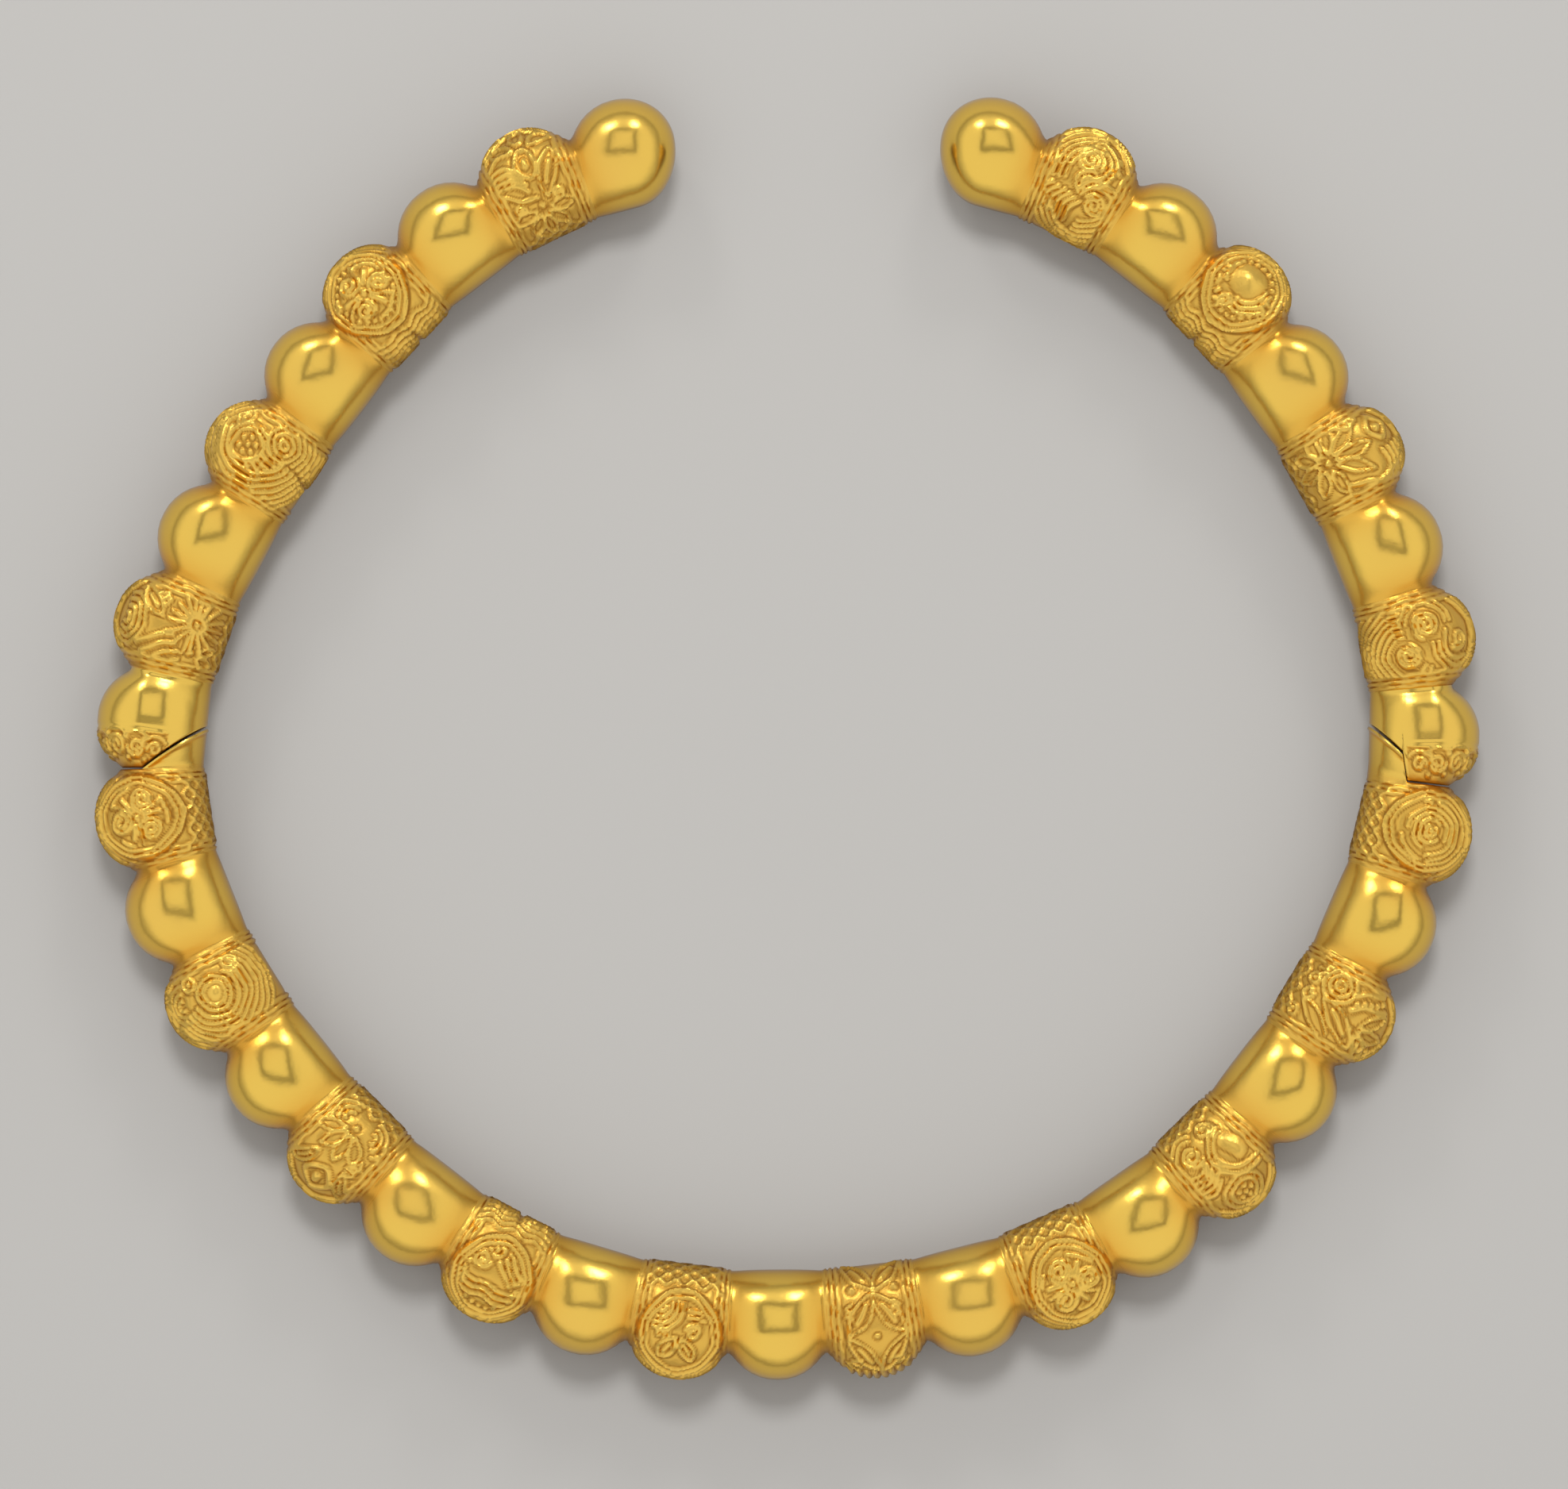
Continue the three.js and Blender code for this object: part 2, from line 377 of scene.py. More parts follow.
def bead_5():
    """Rings on the inner side under a bowl of long arcs, with a cluster of knobs above."""
    rings, cluster = (-2.3, -2.2), (-0.1, 1.3)
    bowl = (-1.4, 0.4)
    field = nest(rings, (0.5, 1.2, 1.9)) + inside_only(
        nest(rings, (2.6, 3.3, 4.0, 4.7, 5.4, 6.1, 6.8), -130, 165),
        lambda along, across: (np.hypot(along - bowl[0], across - bowl[1]) < 3.3)
        | (along < bowl[0] + 0.25 * (bowl[1] - across) - 0.5))
    field += rim_knobs(cluster, 0.95, range(0, 360, 60)) + knobs(cluster) + nest(cluster, (1.75,))
    field += nest(bowl, (3.75, 4.5, 5.25, 6.0, 6.75, 7.5, 8.25), -75, 160, width=0.4, rise=0.36)
    field += scroll((-2.6, 3.4), 1.1, 0) + nest(cluster, (2.4,), 70, 150)
    return framed(field + outer_rims((-0.6, 0.4), 4.7, 4, 0.9), 4.0), None


def bead_7():
    """A fan of short ridges, feathered at one side, below smooth oblique panels."""
    root = (-1.1, -3.2)
    field = knobs(root, radius=0.5) + rays(root, range(85, 200, 19), 3.0) + rays(root, (60, 35, 10), 3.6)
    field += sheaf(line((0.7, -1.0), (1.4, 0.8), (2.6, 2.9)), (0.85, -0.5), 4, width=0.42)
    field += nest((0.4, 5.0), (0.5, 1.2, 1.9, 2.6), 165, 230)
    field += veined_leaf((-3.4, 4.2), (-0.8, 0.6), 0.75) + rays((-3.6, 0.2), (20, 45, 70), 1.9)
    field += rays(root, range(205, 360, 22), 3.4) + fan((2.3, -3.6), (250, 290), 3.0, 0.5)
    return framed(field + lozenges(-7.2, 4) + outer_rims((0, 1), 6.4, 2)), None


def bead_11():
    """A large smooth ring boss with long ridges flowing down one side and under it."""
    boss = (-0.7, -0.1)
    field = nest(boss, (1.25, 1.9)) + [(ring(boss, 0.05), 1.1, 0.3)]
    field += nest(boss, (2.7, 3.4, 4.1, 4.8, 5.5, 6.2, 6.9), 78, -205, width=0.38)
    field += ringed_boss((-2.8, 2.3), 0.75) + scroll((-2.9, -3.2), 1.1, 40, -1)
    field += nest((-1.2, 4.1), (0.55, 1.25, 1.95), -20, 220)
    return framed(field + outer_rims((-0.6, 0.6), 6.0, 3), 3.9), None


def bead_13():
    """Broad leaves from the inner side, nested arcs beside them and framed panels beyond."""
    field = fan((-0.4, -3.2), (50, 82, 114, 146), 4.3, 0.66)
    field += nest((1.6, -3.6), (0.6, 1.3, 2.0), -100, 150) + nest((-1.9, -3.8), (0.6, 1.3, 2.0), 130, 150)
    field += chase(line((0.2, 5.8), (-1.3, 4.0), (0.2, 2.2), (1.8, 4.0), (0.2, 5.8)))
    field += pad((0.2, 3.7), (0.2, 4.3), 0.6) + veined_leaf((-3.5, 5.2), (-1.5, 1.3), 0.65)
    field += veined_leaf((3.5, 5.2), (2.0, 1.2), 0.65) + rays((3.6, 0.6), (150, 180, 210, 240), 1.7)
    return framed(field + lozenges(-5.9, 6) + outer_rims((0, 1), 6.2, 2)), None


def split_commas():
    """Leaves like split hearts, short bars and nested arcs."""
    field = veined_leaf((-0.3, 1.2), (-1.9, 3.7), 0.72) + veined_leaf((0.4, 1.3), (1.6, 3.9), 0.7)
    field += nest((-2.2, -2.0), (0.5, 1.15, 1.8, 2.45), -60, 190)
    field += sheaf(line((-2.5, 0.3), (-2.3, 1.3)), (0.62, 0), 3, width=0.3)
    field += sheaf(line((0.9, -1.2), (2.6, -0.8)), (0, -0.68), 3, width=0.32)
    return field + scroll((1.5, 0.5), 0.95, 200)


def bead_19():
    """Four leaves round a hollow-sided star."""
    field = []
    for side in (-1, 1):
        field += veined_leaf((0.2 + side * 3.1, 1.0), (0.2, -3.6), 1.0)
        field += veined_leaf((0.2 + side * 3.1, 1.2), (0.2, 5.9), 0.85)
        field += veined_leaf((0.2, -4.0), (0.2 + side * 3.3, -8.2), 0.95)
        field += rays((side * 3.6, -1.8), (90 + side * 55, 90 + side * 90, 90 + side * 125), 1.5)
        field += knobs((0.2 + side * 2.4, -4.4), radius=0.6) + rays((side * 3.4, 4.4), (
            90 + side * 20, 90 + side * 60, 90 + side * 100), 1.7)
    field += sheaf(line((-3.2, 6.2), (-2.8, 8.6)), (0.85, 0.0), 8, width=0.38, rise=0.4)
    return framed(field + knobs((0.2, 1.1), radius=0.4)), None


def bead_23():
    """A ringed cluster above a plain arch, with wavy lines beside them."""
    cluster, arch = (-0.2, 4.0), (2.4, -0.8)
    field = nest(cluster, (1.5, 2.2)) + rim_knobs(cluster, 0.8, range(0, 360, 72)) + knobs(cluster)
    field += sheaf(line((-0.8, 0.2), (0.7, 1.7), (3.2, 2.8)), (0.4, -0.66), 2, width=0.42)
    field += pad((2.2, -1.9), (2.5, -0.1), 1.1, 0.22) + nest(arch, (2.3, 3.0), 120, 150)
    field += sheaf(line((-3.7, 1.6), (-2.5, 1.9), (-1.3, 0.9)), (0.05, -0.74), 5)
    field += scroll((-1.9, -3.2), 1.25, 80) + scroll((1.2, -4.4), 1.15, 80, -1)
    field += nest((-1.9, -3.2), (1.9, 2.6), 150, 150)
    return framed(field + lozenges(-6.2, 5) + outer_rims((0, 1.0), 5.9, 3)), None


def bead_25():
    """Leaves that cross one another, with a ladder of little rings and a fan."""
    field = veined_leaf((-3.1, 2.9), (0.4, -2.6), 0.95) + chase(leaf((-3.6, -0.2), (-0.9, -4.6), 0.8), width=0.31)
    field += fan((-1.2, 1.6), (52, 86, 120), 4.6, 0.62) + rays((-3.6, 4.6), (-40, 0, 40), 1.8)
    field += chase(line((0.6, 0.6), (1.5, 2.2), (2.0, 5.0)), line((2.1, 0.2), (3.0, 1.9), (3.4, 4.2)))
    for rung in range(5):
        field += knobs((1.45 + 0.32 * rung, 1.0 + 0.82 * rung), radius=0.42)
    field += nest((2.3, -1.7), (0.55, 1.25, 1.95)) + ringed_boss((1.7, -4.7), 0.6)
    field += scroll((0.0, -4.5), 0.85, 90) + scroll((-2.7, -5.4), 0.8, 0) + rays((3.6, -3.4), (190, 220, 250), 1.8)
    return framed(field + lozenges(-6.3, 5) + outer_rims((0, 1), 6.2, 2)), None


def bead_29():
    """Three spirals in a sheaf of long ridges."""
    upper, lower, outer = (1.4, 0.6), (-1.7, -2.0), (-0.7, 4.2)
    arcs = nest(upper, (2.3, 3.0), -75, 200) + nest(outer, (1.9, 2.6, 3.3), 150, 170)
    arcs += nest(lower, (2.2, 2.9, 3.6, 4.3, 5.0, 5.7, 6.4, 7.1), 120, 235)

    def clear(along, across):
        past_upper = np.hypot(along - upper[0], across - upper[1]) > 2.15
        past_outer = np.hypot(along - outer[0], across - outer[1]) > 1.6
        return past_upper & past_outer & ((across < 1.9) | (along < 0.6))

    field = scroll(upper, 1.6, 200) + scroll(lower, 1.5, 20) + scroll(outer, 1.1, 240, -1)
    field += nest(upper, (2.3, 3.0), -60, 150) + inside_only(arcs, clear)
    return framed(field + outer_rims((0, 0.8), 5.9, 3)), None


def bead_31():
    """Petals spread from one point on the inner side, under framed panels."""
    root = (0.7, -2.7)
    field = fan(root, (122, 92, 60), 5.2, 0.7) + fan(root, (24, 340, 302, 262, 218, 175), 4.1, 0.66)
    field += chase(line((1.6, 5.8), (0.4, 4.5), (1.5, 3.1), (2.9, 4.3), (1.6, 5.8)))
    field += pad((1.6, 4.3), (1.6, 4.6), 0.6) + sheaf(
        line((-3.6, 3.0), (-2.6, 3.9), (-0.9, 3.6)), (0.1, 0.85), 4, width=0.42)
    field += chase(line((-3.5, 1.6), (-3.0, -0.4), (-2.6, -1.6)), line((3.5, 2.6), (2.9, 1.2), (3.5, 0.2)))
    return framed(field + lozenges(-7.0, 4) + outer_rims((1, 1.6), 5.6, 3)), None


def bead_35():
    """A spiral that throws off a row of flames, inside long nested arcs."""
    spiral, upper = (-2.3, -2.2), (0.3, 2.3)
    field = scroll(spiral, 1.4, 30) + scroll(upper, 1.6, 200, -1) + nest(upper, (2.3, 3.0), 110, 130)
    field += sheaf(line((-0.7, -2.3), (0.1, -3.5), (0.2, -5.2)), (0.76, 0.14), 6, width=0.38)
    field += nest((-1.4, 0.4), (3.5, 4.2, 4.9, 5.6), 80, -95, width=0.37)
    field += nest(spiral, (2.1, 2.8), 20, 130) + nest((-1.5, -2.2), (4.2, 4.9, 5.6, 6.3), 200, 130)
    field += nest((-1.5, -2.2), (2.1, 2.8, 3.5), 205, 70)
    field += nest((-0.6, -0.2), (0.7, 1.4), -60, 160) + knobs((-2.6, 4.2), (-3.0, 2.6), radius=0.5)
    return framed(field + outer_rims((0, 0.8), 5.8, 3), 3.9), None


BEAD_DESIGNS = {
    1: bead_1(),
    3: medallion((0.5, 1.3), triskele((0.5, 1.3), 70, 1.1) + pellets((0.5, 1.3), 3.5), whiskers(-4.8)),
    5: bead_5(),
    7: bead_7(),
    9: medallion((-0.2, 1.0), triskele((-0.2, 1.0), 200), lozenges(-4.8)),
    11: bead_11(),
    13: bead_13(),
    15: medallion((0.2, 1.1), weave() + pellets((0.2, 1.1), 3.45), whiskers(-5.0)),
    17: medallion((0.1, 1.0), split_commas(), lozenges(-4.9)),
    19: bead_19(),
    21: medallion((0.5, 1.1), triskele((0.5, 1.1), 130, 1.35), lozenges(-4.9)),
    23: bead_23(),
    25: bead_25(),
    27: medallion((0.4, 1.1), whorl((0.4, 1.1), 60), lozenges(-4.7, lean=-0.12)),
    29: bead_29(),
    31: bead_31(),
    33: medallion((0.3, 1.2), domed((0.3, 1.2)) + pellets((0.3, 1.2), 3.45), whiskers(-4.9)),
    35: bead_35(),
}


def distance_to_path(path, along, across):
    """Shortest distance from each point to a path."""
    span = np.diff(path, axis=0)
    offset = np.stack([along, across], -1)[:, None] - path[:-1]
    share = np.clip((offset * span).sum(-1) / np.maximum((span**2).sum(-1), 1e-9), 0, 1)
    gap = offset - share[..., None] * span
    return np.sqrt((gap**2).sum(-1).min(1))


def chased_relief(strokes, along, across):
    """Height of the ridges, sunk a little in the grooves beside them, and a painted-shade weight that is strongest
    in those grooves and lighter on the low ground between.
    """
    height = np.zeros(along.shape)
    groove = np.zeros(along.shape)
    for path, width, rise in strokes:
        low, high = path.min(0) - width - 0.6, path.max(0) + width + 0.6
        near = (along > low[0]) & (along < high[0]) & (across > low[1]) & (across < high[1])
        if not near.any():
            continue
        distance = distance_to_path(path, along[near], across[near])
        crown = 0.5 + 0.5 * np.cos(math.pi * np.clip(distance / width, 0, 1))
        height[near] = np.maximum(height[near], rise * crown)
        # The groove weight beside each ridge sinks a shallow ditch and also sets the painted shade there.
        beside = np.exp(-(((distance - width) / 0.17) ** 2))
        groove[near] = np.maximum(groove[near], beside)
    groove = groove * (1 - np.clip(height / 0.12, 0, 1))
    # Painted shade: a lighter wash of shade on the low ground between ridges.
    low_ground_shade = 0.3 * (1 - np.clip(height / 0.2, 0, 1))
    return height - DITCH_DEPTH * groove, np.maximum(groove, low_ground_shade)


HAND_SWAY = 0.075


def chased_surface(number, along, turn):
    """Rise of a chased bead over its plain ball, and the painted-shade weight of its grooves."""
    across = (math.pi / 2 - turn) * CHASED_RADIUS
    across = np.where(turn > 1.5 * math.pi, across + 2 * math.pi * CHASED_RADIUS, across)
    ground, medal = BEAD_DESIGNS[number]
    drawn_along = along + HAND_SWAY * np.sin(1.9 * across + 0.7 * along + number)
    drawn_across = across + HAND_SWAY * np.sin(2.3 * along - 0.8 * across + 2 * number)
    height, groove = chased_relief(ground, drawn_along, drawn_across)
    shown = np.clip((12.5 - np.abs(across)) / 1.5, 0, 1)
    ends = np.clip((BEAD_PITCH / 2 - np.abs(along)) / 0.3, 0, 1)
    height, groove = height * shown * ends, groove * shown * ends
    if medal:
        middle, disc = medal
        reach = np.hypot((along - middle[0]) / DISC_SHAPE, across - middle[1])
        inside = np.clip((DISC_EDGE - reach) / 0.25, 0, 1)
        inside = inside * inside * (3 - 2 * inside)
        disc_height, disc_groove = chased_relief(disc, drawn_along, drawn_across)
        field = 0.12 + 0.22 * (reach / DISC_EDGE) ** 2
        height = height + (disc_height + field - height) * inside
        groove = groove + (disc_groove - groove) * inside
        # Painted shade in a ring at the foot of the disc's raised edge.
        groove = np.maximum(groove, np.exp(-(((reach - DISC_EDGE - 0.15) / 0.2) ** 2)))
    return height, groove


def bead_rows(number):
    """Offsets of a bead's rows from its middle, from its first waist up to before the next."""
    if number % 2:
        return (np.arange(CHASED_ROWS) / CHASED_ROWS - 0.5) * BEAD_PITCH
    share = np.arange(PLAIN_ROWS) / PLAIN_ROWS - 0.5
    return BEAD_PITCH / 2 * np.sin(math.pi * share * 0.9) / math.sin(math.pi * 0.45)


def bead_skin(number, offset, turns):
    """Reach, painted-shade weight (grooves and waists) and chased share of one bead at its offsets and turns."""
    chased = number % 2 == 1
    reach = bead_reach(offset, chased, np.cos(turns), np.sin(turns))
    height, groove = np.zeros(offset.shape), np.zeros(offset.shape)
    if chased:
        rise, dip = chased_surface(number, offset.ravel(), turns.ravel())
        height, groove = rise.reshape(offset.shape), dip.reshape(offset.shape)
    near_waist = np.abs(offset) - BEAD_PITCH / 2
    # Painted shade in the waists between beads, deepest on the outer side where the notches are.
    groove = np.maximum(groove, np.exp(-((near_waist / 1.1) ** 2)) * (0.5 + 0.5 * np.cos(turns)))
    # Painted warm reflection of the neighbouring beads, spread a little wider round each waist.
    warm_reflection_paint = 0.3 * np.exp(-((near_waist / 2.2) ** 2)) * (0.75 + 0.25 * np.cos(turns))
    groove = np.maximum(groove, warm_reflection_paint)
    return reach + height, groove, np.full(offset.shape, float(chased))


def bead_block(number, offsets=None):
    """Rows of one bead: place along the hoop, reach, painted-shade weight and chased share."""
    offsets = bead_rows(number) if offsets is None else offsets
    offset, turns = np.broadcast_arrays(np.reshape(offsets, (len(offsets), -1)), TURNS)
    reach, groove, chased = bead_skin(number, offset, turns)
    return np.stack([bead_middle(number) + offset, reach, groove, chased], -1)


LEFT_JOINT = ((-4.0, 7.9), (6.6, 0.0), (20.0, 0.0))
RIGHT_JOINT = ((-4.0, 10.1), (4.1, 2.4), (4.101, 0.0), (20.0, 0.0))
JOINT_GAP = 0.16


def joint_depth(joint, side, number, gap):
    """How far past the waist the joint cuts into an arm's last bead, at each turn."""
    depth = np.zeros(COLUMNS)
    outs, depths = zip(*joint)
    for _ in range(12):
        offset = side * (BEAD_PITCH / 2 - depth - gap)
        out = bead_reach(offset, number % 2 == 1, COS, SIN) * COS
        depth = depth + 0.6 * (np.interp(out + INNER_REACH, outs, depths) - depth)
    return depth


TONGUE_EDGE = (0.0, 0.12, 0.24, 0.36, 0.5, 0.7, 1.0)


def tongue_block(joint, side, number):
    """Rows of the tongue, from its free edge down to the waist, over the arm's last bead."""
    depth = joint_depth(joint, side, number, 0)
    back = np.array(TONGUE_EDGE)[:, None]
    back = np.vstack([back, 1.0 + (np.linspace(0, 1, 7)[1:-1, None]) * 4.0])
    back = np.minimum(back * np.minimum(depth / 5.0, 1), depth)
    offset = side * (BEAD_PITCH / 2 - depth + back)
    reach, groove, _ = bead_skin(number, offset, np.broadcast_to(TURNS, offset.shape))
    rim = np.exp(-(((back - 0.24) / 0.2) ** 2)) * (depth > 0.5)
    reach = reach + 0.2 * rim
    # Painted shade in a line along the joint, just behind the tongue's raised rim.
    groove = 0.5 * np.exp(-(((back - 0.62) / 0.16) ** 2)) * (depth > 0.8)
    block = np.stack([bead_middle(number) + offset, reach, groove, np.zeros(offset.shape)], -1)
    return block if side > 0 else block[::-1]


class RowMesh:
    """A straight row of loops round the bead axis, closed at both ends."""

    def __init__(self):
        self.points = []
        self.faces = []
        self.skin = []

    def add_loops(self, block):
        count = len(block)
        start = len(self.points)
        run, reach = block[..., 0], block[..., 1]
        height = np.maximum(AXIS_HEIGHT + reach * SIN, 0)
        self.points += np.stack([run, reach * COS, height], -1).reshape(-1, 3).tolist()
        self.skin += block[..., 2:].reshape(-1, 2).tolist()
        for row in range(count - 1):
            for column in range(COLUMNS):
                after = (column + 1) % COLUMNS
                low, high = start + row * COLUMNS, start + (row + 1) * COLUMNS
                self.faces.append((low + column, low + after, high + after, high + column))

    def close_with_tip(self, row, run, first):
        """Draws a loop together to one point."""
        tip = len(self.points)
        self.points.append([run, 0.0, AXIS_HEIGHT])
        self.skin.append([0.0, 0.0])
        for column in range(COLUMNS):
            after = (column + 1) % COLUMNS
            pair = (row + after, row + column) if first else (row + column, row + after)
            self.faces.append((*pair, tip))

    def close_flat(self, row, first):
        """Closes a loop with an upright wall, laced from the upper half to the lower."""
        out = [self.points[row + column][1] for column in range(COLUMNS)]
        outer, inner = int(np.argmax(out)), int(np.argmin(out))
        upper = [row + column for column in range(outer, inner + 1)]
        lower = [row + column % COLUMNS for column in range(outer + COLUMNS, inner - 1, -1)]
        high, low = 0, 0
        while high < len(upper) - 1 or low < len(lower) - 1:
            high_next = self.points[upper[high + 1]][1] if high < len(upper) - 1 else -1e9
            low_next = self.points[lower[low + 1]][1] if low < len(lower) - 1 else -1e9
            if high_next >= low_next:
                face = (upper[high], upper[high + 1], lower[low])
                high += 1
            else:
                face = (upper[high], lower[low + 1], lower[low])
                low += 1
            if len(set(face)) == 3:
                self.faces.append(face[::-1] if first else face)

    def to_object(self, name):
        mesh = bpy.data.meshes.new(name)
        mesh.from_pydata((np.array(self.points) * MM).tolist(), [], self.faces)
        skin = np.array(self.skin)
        # The groove attribute carries the painted-shade weight that the gold's colour reads.
        for column, label in enumerate(("groove", "chased")):
            attribute = mesh.attributes.new(label, "FLOAT", "POINT")
            attribute.data.foreach_set("value", skin[:, column].astype(np.float32))
        made = bpy.data.objects.new(name, mesh)
        bpy.context.scene.collection.objects.link(made)
        weld(made)
        return made


def weld(made):
    """Merges points that coincide and drops the faces that this closes up."""
    import bmesh

    work = bmesh.new()
    work.from_mesh(made.data)
    bmesh.ops.remove_doubles(work, verts=work.verts, dist=2e-6)
    bmesh.ops.recalc_face_normals(work, faces=work.faces)
    work.to_mesh(made.data)
    work.free()


class Wire:
    """A value that runs through a node tree; arithmetic on it adds Math nodes."""

    def __init__(self, tree, socket=None):
        self.tree = tree
        self.socket = socket

    def node(self, kind, settings=None, sockets=None, output=0):
        made = self.tree.nodes.new(kind)
        for name, value in (settings or {}).items():
            if name == "stops":
                for stop, (place, colour) in zip(self.ramp_stops(made, len(value)), value):
                    stop.position = place
                    stop.color = colour
            else:
                setattr(made, name, value)
        for name, value in (sockets or {}).items():
            if isinstance(value, Wire):
                self.tree.links.new(value.socket, made.inputs[name])
            else:
                made.inputs[name].default_value = value
        return Wire(self.tree, made.outputs[output] if len(made.outputs) else made)

    def ramp_stops(self, ramp, count):
        stops = ramp.color_ramp.elements
        while len(stops) < count:
            stops.new(0.5)
        return stops

    def maths(self, operation, *values, clamp=False):
        settings = {"operation": operation, "use_clamp": clamp}
        return self.node("ShaderNodeMath", settings, dict(enumerate(values)))

    def __add__(self, other):
        return self.maths("ADD", self, other)

    __radd__ = __add__

    def __sub__(self, other):
        return self.maths("SUBTRACT", self, other)

    def __rsub__(self, other):
        return self.maths("SUBTRACT", other, self)

    def __mul__(self, other):
        return self.maths("MULTIPLY", self, other)

    __rmul__ = __mul__

    def clamped(self):
        return self.maths("ADD", self, 0.0, clamp=True)


def sheet_gold():
    """High-carat gold: burnished on plain beads, softer and warmer where it is chased. Its colour also has painted
    shade in the grooves, waists and joints and down the sides, and a painted warm reflection in the waists.
    """
    material = bpy.data.materials.new("sheet_gold")
    material.use_nodes = True
    tree = material.node_tree
    tree.nodes.clear()
    bench = Wire(tree)
    place = bench.node("ShaderNodeTexCoord", output="Object")
    groove = bench.node("ShaderNodeAttribute", {"attribute_name": "groove"}, output="Fac")
    chased = bench.node("ShaderNodeAttribute", {"attribute_name": "chased"}, output="Fac")

    def noise(scale, detail=2.0, rough=0.5):
        sockets = {"Vector": place, "Scale": scale, "Detail": detail, "Roughness": rough}
        return bench.node("ShaderNodeTexNoise", None, sockets, "Fac")

    def blend(share, low, high):
        sockets = {"Factor": share, "A": low, "B": high}
        made = bench.node("ShaderNodeMix", {"data_type": "RGBA"}).socket.node
        for name, value in sockets.items():
            index = {"Factor": 0, "A": 6, "B": 7}[name]
            if isinstance(value, Wire):
                tree.links.new(value.socket, made.inputs[index])
            else:
                made.inputs[index].default_value = value
        return Wire(tree, made.outputs[2])

    mottle = noise(90.0, 3.0)
    # Noise that breaks up the painted shade in the recesses.
    shade_patchiness = noise(420.0, 4.0, 0.6)
    gold = blend(chased, (0.96, 0.64, 0.12, 1), (0.98, 0.64, 0.125, 1))
    gold = blend(((mottle - 0.42) * 1.6).clamped() * 0.6, gold, (0.92, 0.55, 0.12, 1))
    # Painted warm reflection: orange where the shade weight is high, mostly on plain beads.
    warm_reflection_paint = (groove * (3.4 - 2.6 * chased)).clamped() * 0.75
    gold = blend(warm_reflection_paint, gold, (0.92, 0.44, 0.045, 1))
    # Painted shade: dark brown in grooves, waists and joints, broken up by noise.
    recess_shade = (groove * (0.65 + 0.6 * shade_patchiness)).clamped()
    gold = blend(recess_shade * (0.35 + 0.65 * groove), gold, (0.42, 0.2, 0.03, 1))
    height = Wire(tree, bench.node("ShaderNodeSeparateXYZ", None, {0: place}).socket.node.outputs["Z"])
    # Painted shade and dark edge reflection: the sides darken from just under the crown down towards the table.
    side_shade = ((0.0100 - height) * 230.0).clamped()
    gold = blend(side_shade * side_shade * 0.92, gold, (0.3, 0.14, 0.015, 1))
    roughness = 0.16 + 0.1 * chased + 0.18 * recess_shade + 0.08 * mottle
    dents = bench.node("ShaderNodeBump", None, {"Strength": 0.45, "Distance": 0.0004,
                                                  "Height": noise(160.0, 2.0)}, "Normal")
    grain = bench.node("ShaderNodeBump", None, {
        "Strength": 0.45, "Distance": 0.0001, "Normal": dents,
        "Height": noise(1900.0, 3.0) * (0.2 + 0.8 * chased)}, "Normal")
    shader = bench.node("ShaderNodeBsdfPrincipled", None, {
        "Base Color": gold, "Metallic": 1.0, "Roughness": roughness, "Normal": grain}, "BSDF")
    bench.node("ShaderNodeOutputMaterial", None, {"Surface": shader})
    return material


gold = sheet_gold()

curve = bpy.data.curves.new("hoop_line", "CURVE")
curve.dimensions = "3D"
spline = curve.splines.new("POLY")
spline.points.add(len(hoop_points) - 1)
for point, (x, y) in zip(spline.points, hoop_points):
    point.co = (x * MM, y * MM, 0, 1)
hoop = bpy.data.objects.new("hoop_line", curve)
bpy.context.scene.collection.objects.link(hoop)


def new_tree(name, inputs):
    """A geometry tree with named inputs; returns it with a bench to build on."""
    tree = bpy.data.node_groups.new(name, "GeometryNodeTree")
    for label, kind in inputs:
        tree.interface.new_socket(label, in_out="INPUT", socket_type=kind)
    tree.interface.new_socket("Geometry", in_out="OUTPUT", socket_type="NodeSocketGeometry")
    return tree, Wire(tree), tree.nodes.new("NodeGroupInput")


